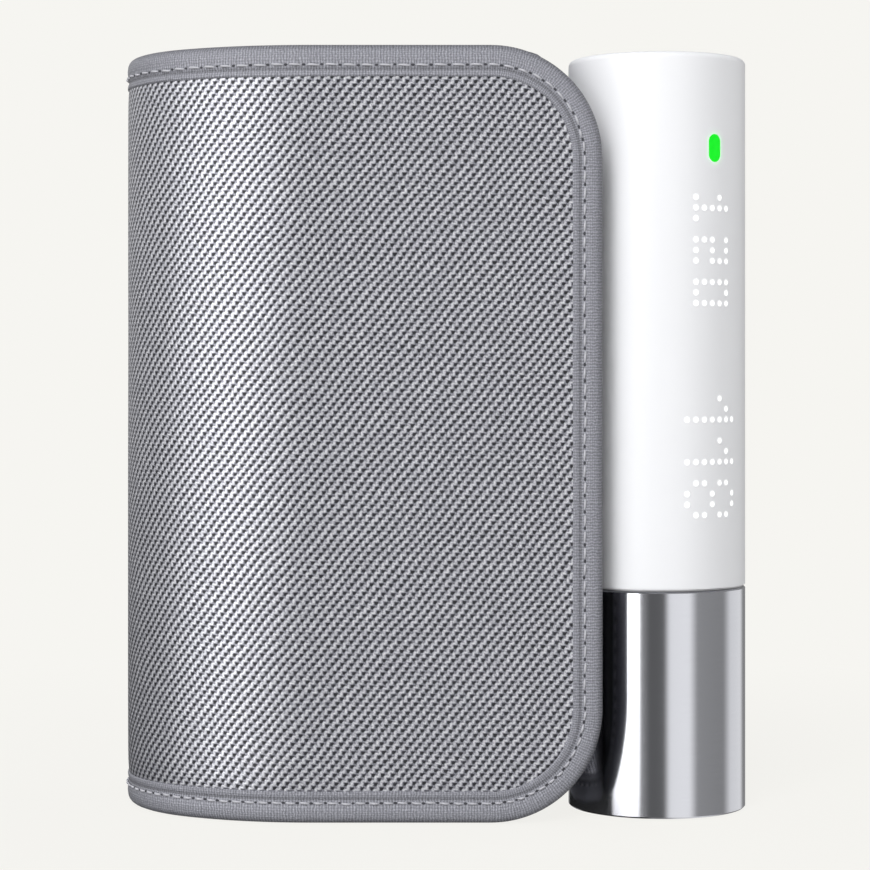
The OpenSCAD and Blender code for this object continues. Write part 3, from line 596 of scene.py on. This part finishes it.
def stitch_row(name, line):
    """Lock stitches along a line: a thread between each two needle holes, on both faces."""
    line = np.array(line)
    along = lengths_along(line[:, :2])
    tp, tf, tu, hp, hf, hu = [], [], [], [], [], []

    def point(a, w, d):
        """The point at a length along the line, a distance in from the edge, and a depth."""
        s, z, ns, nz = (np.interp(a, along, line[:, i]) for i in range(4))
        k = math.hypot(ns, nz) or 1.0
        x, y = at(s + w * ns / k, d)
        return np.array([float(x), float(y), z + w * nz / k])

    def unit(v):
        return v / np.linalg.norm(v)

    a = 0.6
    while a < along[-1] - 1.5:
        pitch = pitch_for(np.interp(a, along, line[:, 1]))
        if a + pitch > along[-1]:
            break
        jit = rng.normal(0, 0.05, 3)
        for outer in (True, False):
            def deep(v):
                return v if outer else BAND_T - v
            ring = len(tp)
            for k in range(THREAD_STEPS):
                f = k / (THREAD_STEPS - 1)
                here = a + pitch * (0.20 + 0.62 * f)
                rise = 0.30 - 0.38 * math.sin(math.pi * f) ** 0.6
                w = STITCH_W + jit[0] * 0.6 + 0.12 * (f - 0.5) + jit[1]
                c = point(here, w, deep(rise))
                side = unit(point(here, w + 0.1, deep(rise)) - c)
                out = unit(point(here, w, deep(rise - 0.1)) - c)
                r = THREAD_R * (0.45 + 0.55 * math.sin(math.pi * min(max(f, 0.08), 0.92)) ** 0.5)
                for q in range(THREAD_SIDES):
                    g = 2 * math.pi * q / THREAD_SIDES
                    tp.append(c + r * (math.cos(g) * side + 0.8 * math.sin(g) * out))
                    tu.append((here, g * 0.2))
            for k in range(THREAD_STEPS - 1):
                for q in range(THREAD_SIDES):
                    i, j = ring + k * THREAD_SIDES + q, ring + k * THREAD_SIDES + (q + 1) % THREAD_SIDES
                    tf.append((i, j, j + THREAD_SIDES, i + THREAD_SIDES))
            tf.append(tuple(ring + q for q in range(THREAD_SIDES)))
            last = ring + (THREAD_STEPS - 1) * THREAD_SIDES
            tf.append(tuple(last + q for q in reversed(range(THREAD_SIDES))))
            # painted shade: a dark disc at each needle hole stands for the shade inside the hole
            w = STITCH_W + jit[0]
            c = point(a, w, deep(0.19))
            out = unit(point(a, w, deep(0.09)) - c)
            al = unit(point(a + 0.2, w, deep(0.19)) - c)
            side = np.cross(out, al)
            base = len(hp)
            hp.append(c + 0.06 * out)
            hu.append((a, 0))
            for q in range(HOLE_SIDES):
                g = 2 * math.pi * q / HOLE_SIDES
                hp.append(c + HOLE_A * math.cos(g) * al + HOLE_B * math.sin(g) * side + 0.01 * out)
                hu.append((a, 1))
                hf.append((base, base + 1 + q, base + 1 + (q + 1) % HOLE_SIDES))
        a += pitch
    return (mesh_object(name + "_thread", tp, tf, M["thread"], tu),
            mesh_object(name + "_hole_shades", hp, hf, M["hole"], hu))


def with_flap(ob, slot, *nodes):
    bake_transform(ob)
    if nodes:
        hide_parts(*nodes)
    return ob


def with_monitor(ob, slot, *nodes):
    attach(ob, "monitor")
    if nodes:
        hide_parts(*nodes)
    return ob


flap_fabric = with_flap(band_sheet("cuff_flap_fabric", FABRIC_W, S_SPLIT, False, M["twill"], free_end=True),
                        "woven_fabric", "flap_fabric", "flap_foam")
band_fabric = with_monitor(band_sheet("cuff_band_fabric", S_SPLIT, S_END, False, M["twill"]),
                           "woven_fabric", "band_fabric", "band_foam")
with_flap(band_sheet("cuff_flap_lining", FABRIC_W, S_SPLIT, True, M["lining"], free_end=True),
          "lining_fabric", "flap_lining")
with_monitor(band_sheet("cuff_band_lining", S_SPLIT, S_END, True, M["lining"]),
             "lining_fabric", "band_lining")
outline = flap_outline()
with_flap(sweep_tape("cuff_flap_binding", outline, STITCH_PITCH), "binding_tape", "flap_binding")
for side, node in ((1, "top_binding"), (0, "bottom_binding")):
    edge = edge_line(S_SPLIT, S_END, side)
    tape = sweep_tape("cuff_" + node, edge[::-1] if side else edge, pitch_for(BAND_H * side))
    with_monitor(tape, "binding_tape", node)
    for ob in stitch_row("cuff_" + node, edge):
        with_monitor(ob, "binding_tape")
inner_end = [(S_END + 0.6, z, -1.0, 0.0) for z in np.linspace(0.4, BAND_H - 0.4, 145)]
with_monitor(sweep_tape("cuff_end_binding", inner_end, STITCH_PITCH, 0.14), "binding_tape", "end_binding")
for ob in stitch_row("cuff_end", inner_end):
    with_monitor(ob, "binding_tape")
for ob in stitch_row("cuff_flap", outline):
    with_flap(ob, "binding_tape")


# ---------------------------------------------------------------- hook and loop patches
PATCH_Z = 13.0                          # from the band's edges to the patches
HOOK_IN, HOOK_LENGTH = 8.6, 38.0        # in from the free end
LOOP_IN, LOOP_LENGTH = 2.25, 27.6       # in from the start of the run under the flap
RIM_CUTS = np.array([0, 0.25, 0.7, 1.4])


def patch(name, s0, length, face_d, thick, material, outward):
    """A sewn-on patch with rounded edges and a faint line of stitching, laid on the band's face."""
    height = BAND_H - 2 * PATCH_Z
    ss = np.concatenate([RIM_CUTS, np.linspace(3, length - 3, 20), length - RIM_CUTS[::-1]])
    zz = np.concatenate([RIM_CUTS, np.linspace(3, height - 3, 60), height - RIM_CUTS[::-1]])
    pts, uv = [], []
    for a in ss:
        for b in zz:
            e = min(a, length - a, b, height - b)
            up = thick * (1 - math.exp(-e / 0.25)) * (1 - 0.25 * math.exp(-((e - 1.6) / 0.4) ** 2))
            up += 0.02 * math.sin(a * 3.1) * math.sin(b * 2.7)
            x, y = at(s0 + a, face_d - outward * up)
            pts.append((float(x), float(y), PATCH_Z + b))
            uv.append((a, b))
    return mesh_object(name, pts, grid_faces(len(ss), len(zz), flip=outward < 0), material, uv)


hook = patch("cuff_hook_patch", HOOK_IN, HOOK_LENGTH, BAND_T - 0.12, 0.16, M["hook"], -1)
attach(hook, "flap")
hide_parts("hook_patch")
loop = patch("cuff_loop_patch", STARTS[INNER_FRONT][0] + LOOP_IN, LOOP_LENGTH, 0.16, 0.2, M["loop"], 1)
with_monitor(loop, "loop_tape", "loop_patch")

# ---------------------------------------------------------------- lit dots and the light's halo on the tube
DISPLAY_A = 33.0        # angle on the tube of the display's middle, from the front towards +X
DOT_PITCH, DOT_PITCH_A = 2.067, 6.1     # down the tube in millimetres, round it in degrees
DOT_TOP = 121.0         # height of the top dots
STATUS_A, STATUS_Z = DISPLAY_A + 2.0, 130.7
GLYPH_SMALL = {"1": ("010", "110", "010", "010", "111"), "2": ("111", "001", "111", "100", "111"),
               "0": ("111", "101", "101", "101", "111")}


def lit_dots():
    """(column, row) of the lit dots: column 0 is the top one, row 0 is the bottom of the letters."""
    found = set()
    for k, ch in enumerate("120"):
        for line, bits in enumerate(GLYPH_SMALL[ch]):
            for c, bit in enumerate(bits):
                if bit == "1":
                    found.add((4 * k + c, 5 - line))
    for c0 in (19, 23):
        found |= {(c0, 4), (c0 + 1, 5)} | {(c0 + 2, r) for r in range(7)}
    found |= {(27, r) for r in (1, 2, 4, 5)} | {(30, r) for r in (1, 2, 4, 5)}
    found |= {(c, r) for c in (28, 29) for r in (0, 3, 6)}
    return sorted(found)


def on_tube(angle, z, lift):
    a = math.radians(angle)
    return (TUBE_X + (TUBE_R + lift) * math.sin(a), TUBE_Y - (TUBE_R + lift) * math.cos(a), z)


def wall_patch(name, centres, rings, material, segs=20, filled=True):
    """Round patches, or rings, that lie on the tube's wall; rings are (half width, half height, glow)."""
    pts, faces, glow = [], [], []
    for ang, z in centres:
        if filled:
            pts.append(on_tube(ang, z, 0.03))
            glow.append(rings[0][2])
        base = len(pts) - 1
        for k, (rw, rh, g) in enumerate(rings):
            for q in range(segs):
                t = 2 * math.pi * q / segs
                e = rw * math.cos(t)
                h = rh * math.sin(t) if rh == rw else (rw * math.sin(t) + math.copysign(rh - rw, math.sin(t)))
                lift = 0.005 if k == len(rings) - 1 else 0.03
                pts.append(on_tube(ang + math.degrees(e / TUBE_R), z + h, lift))
                glow.append(g)
        for q in range(segs if filled else 0):
            faces.append((base, base + 1 + q, base + 1 + (q + 1) % segs))
        for k in range(len(rings) - 1):
            for q in range(segs):
                i, j = base + 1 + k * segs + q, base + 1 + k * segs + (q + 1) % segs
                faces.append((i, i + segs, j + segs, j))
    ob = mesh_object(name, pts, faces, material)
    att = ob.data.attributes.new("glow", "FLOAT", "POINT")
    att.data.foreach_set("value", np.array(glow, np.float32))
    return ob


# painted glow: the outer rings of each dot fade a glow onto the wall round it
dot_rings = [(r, r, glow) for r, glow in ((0.25, 1.0), (0.42, 0.85), (0.54, 0.35), (0.66, 0.08), (0.78, 0.0))]
dots = wall_patch("display_dots",
                  [(DISPLAY_A + (r - 3) * DOT_PITCH_A, DOT_TOP - DOT_PITCH * c) for c, r in lit_dots()],
                  dot_rings, glow_material("white_plastic_lit", WHITE, (1.0, 1.0, 1.0), 0.75))
with_monitor(dots, "white_plastic")
# painted glow: a pool of the status light's green on the white wall round it
halo_rings = [(1.52, 2.77, 1.0), (1.7, 2.95, 0.45), (2.0, 3.25, 0.16), (2.5, 3.75, 0.05), (3.2, 4.45, 0.0)]
halo = wall_patch("status_halo", [(STATUS_A, STATUS_Z)], halo_rings,
                  glow_material("white_plastic_halo", WHITE, (0.10, 0.9, 0.22), 0.4), 40, filled=False)
with_monitor(halo, "white_plastic")


def green_material():
    """The lit status light."""
    t = Tree("status_green")
    n = t.noise(t.node("ShaderNodeTexCoord").outputs["Object"], 700.0)
    t.put(t.bsdf.inputs["Base Color"], t.mix(n, (0.004, 0.16, 0.008, 1), (0.006, 0.2, 0.012, 1)))
    t.put(t.bsdf.inputs["Emission Color"], t.mix(n, (0.002, 0.86, 0.012, 1), (0.008, 0.98, 0.022, 1)))
    t.bsdf.inputs["Emission Strength"].default_value = 0.8
    t.set(Roughness=0.5, Specular_IOR_Level=0.2)
    return t.mat


M["green"] = green_material()

# ---------------------------------------------------------------- CAD nodes with their materials
LOOKS = {
    "saddle_backplate": "metal", "cuff_saddle": "saddle", "saddle_screws": "screw", "air_nipple": "clear",
    "nipple_seal": "rubber", "upper_housing": "white", "steel_sleeve": "steel", "seam_ring": "seam",
    "top_cap": "white", "start_button": "button", "button_board": "board", "button_switch": "chip",
    "chassis": "chassis", "battery": "cell", "main_board": "board", "shield_can": "metal",
    "pressure_sensor": "chip", "air_manifold": "saddle", "air_hoses": "silicone", "release_valve": "motor",
    "pump_head": "chip", "pump_motor": "motor", "pump_dampers": "rubber", "display_board": "board",
    "display_leds": "led", "display_diffuser": "clear", "status_light": "green", "socket_board": "board",
    "charge_socket": "metal", "base_cap": "dark", "base_screws": "screw", "air_bladder": "film",
    "flap_fabric": "twill", "flap_foam": "chassis", "flap_lining": "lining", "flap_binding": "tape",
    "hook_patch": "hook", "band_fabric": "twill", "band_foam": "chassis", "band_lining": "lining",
    "top_binding": "tape", "bottom_binding": "tape", "end_binding": "tape", "loop_patch": "loop",
}
for name, ob in NODES.items():
    ob.data.materials.clear()
    ob.data.materials.append(M[LOOKS[name]])

# ---------------------------------------------------------------- stage, light and camera
PALE = (0.922, 0.914, 0.880)


def stage_floor():
    """A pale floor that keeps the object's shadow near it and runs into the background further out."""
    t = Tree("floor")
    t.t.nodes.remove(t.bsdf)
    x, y, _ = t.split(t.node("ShaderNodeNewGeometry").outputs["Position"])
    r2 = t.math("ADD", t.math("MULTIPLY", x, x), t.math("MULTIPLY", y, y))
    far = t.ramp(t.math("SQRT", r2), [(0.09, 0.0), (0.26, 1.0)])
    lp = t.node("ShaderNodeLightPath")
    direct = t.math("MAXIMUM", lp.outputs["Is Camera Ray"], lp.outputs["Is Glossy Ray"])
    dif = t.node("ShaderNodeBsdfDiffuse")
    t.put(dif.inputs["Color"], t.mix(direct, (0.46, 0.456, 0.442, 1), (*PALE, 1)))
    em = t.node("ShaderNodeEmission")
    em.inputs["Color"].default_value = (*PALE, 1)
    em.inputs["Strength"].default_value = 1.0
    share = t.math("MULTIPLY_ADD", far, 0.08, 0.92)
    mix = t.node("ShaderNodeMixShader")
    t.put(mix.inputs[0], t.math("MULTIPLY", direct, share))
    t.put(mix.inputs[1], dif.outputs[0])
    t.put(mix.inputs[2], em.outputs[0])
    t.put(t.out.inputs["Surface"], mix.outputs[0])
    bpy.ops.mesh.primitive_circle_add(vertices=64, radius=9.0, fill_type="NGON", location=(0, 0, -0.0002))
    floor = bpy.context.object
    floor.name = "floor"
    floor.data.materials.append(t.mat)
    floor.visible_glossy = False


stage_floor()


def studio_world():
    """A dim ring of light, a brighter one that only glossy surfaces mirror, and the pale background."""
    w = bpy.data.worlds.new("studio")
    bpy.context.scene.world = w
    w.use_nodes = True
    t = Tree.__new__(Tree)
    t.t = w.node_tree
    bg = next(n for n in t.t.nodes if n.type == "BACKGROUND")
    x, y, z = t.split(t.node("ShaderNodeTexCoord").outputs["Generated"])
    azim = t.math("ARCTAN2", x, t.math("MULTIPLY", y, -1.0))
    f = t.math("ADD", t.math("DIVIDE", azim, 2 * math.pi), 0.5)

    def pos(deg):
        return 0.5 + deg / 360.0

    ring = t.ramp(f, [(0.0, 0.35), (pos(-140), 0.7), (pos(-78), 1.1), (pos(-55), 0.8), (pos(-20), 0.30),
                      (pos(-14), 0.15), (pos(5), 0.17), (pos(12), 1.20), (pos(38), 1.25), (pos(49), 0.40),
                      (pos(92), 0.34), (pos(106), 1.0), (pos(134), 1.05), (pos(146), 0.30), (1.0, 0.25)])
    lp = t.node("ShaderNodeLightPath")
    dim = t.ramp(f, [(0.0, 0.40), (pos(-110), 0.80), (pos(-50), 0.55), (pos(0), 0.42), (pos(60), 0.14),
                     (1.0, 0.30)])
    height = t.math("MULTIPLY_ADD", z, 0.5, 0.5)
    up = t.ramp(height, [(0.60, 0.0), (0.80, 1.0)])
    # below the horizon on the left the tube mirrors the dark side of the roll
    below = t.ramp(height, [(0.455, 0.0), (0.485, 1.0)])
    dark = t.ramp(f, [(pos(-172), 1.0), (pos(-162), 0.03), (pos(-52), 0.03), (pos(-44), 1.0)])
    ring = t.math("MULTIPLY", ring, t.mix(below, dark, (1.0, 1.0, 1.0, 1)))
    sky = t.mix(up, t.mix(lp.outputs["Is Glossy Ray"], dim, ring), (0.36, 0.36, 0.365, 1))
    seen = t.math("MAXIMUM", lp.outputs["Is Camera Ray"], lp.outputs["Is Transmission Ray"])
    t.put(bg.inputs["Color"], t.mix(seen, sky, (*PALE, 1)))
    bg.inputs["Strength"].default_value = 1.0


studio_world()

AIM_Z = 0.08            # height that the lamps face


def panel(name, azimuth, elevation, distance, width, height, radiance):
    """A soft box of even radiance that faces the object."""
    a, e = math.radians(azimuth), math.radians(elevation)
    d = bpy.data.lights.new(name, "AREA")
    d.shape = "RECTANGLE"
    d.size, d.size_y = width, height
    d.energy = radiance * math.pi * width * height
    ob = bpy.data.objects.new(name, d)
    ob.location = (distance * math.sin(a) * math.cos(e), -distance * math.cos(a) * math.cos(e),
                   AIM_Z + distance * math.sin(e))
    back = ob.location.copy()
    back.z -= AIM_Z
    ob.rotation_mode = "QUATERNION"
    ob.rotation_quaternion = back.to_track_quat("Z", "Y")
    bpy.context.scene.collection.objects.link(ob)
    return ob


panel("key", -43, 6, 1.1, 0.76, 0.80, 2.8).visible_diffuse = False
panel("side", -23, 2, 1.1, 0.40, 0.80, 5.7).visible_glossy = False
panel("top", -14, 36, 1.8, 0.80, 0.90, 8.6).visible_glossy = False
panel("rim", 116, 8, 1.1, 0.45, 0.70, 4.4).visible_glossy = False

# the camera's place, lens and shift are fitted to the photo's perspective
cam_data = bpy.data.cameras.new("camera")
cam_data.sensor_width = 36.0
cam_data.lens = 107.63
cam_data.shift_y = -0.0757
cam = bpy.data.objects.new("camera", cam_data)
cam.location = (0.00014, -0.5305, 0.08746)
cam.rotation_euler = (math.pi / 2, 0, 0)
bpy.context.scene.collection.objects.link(cam)
bpy.context.scene.camera = cam
bpy.context.scene.view_settings.view_transform = "Standard"
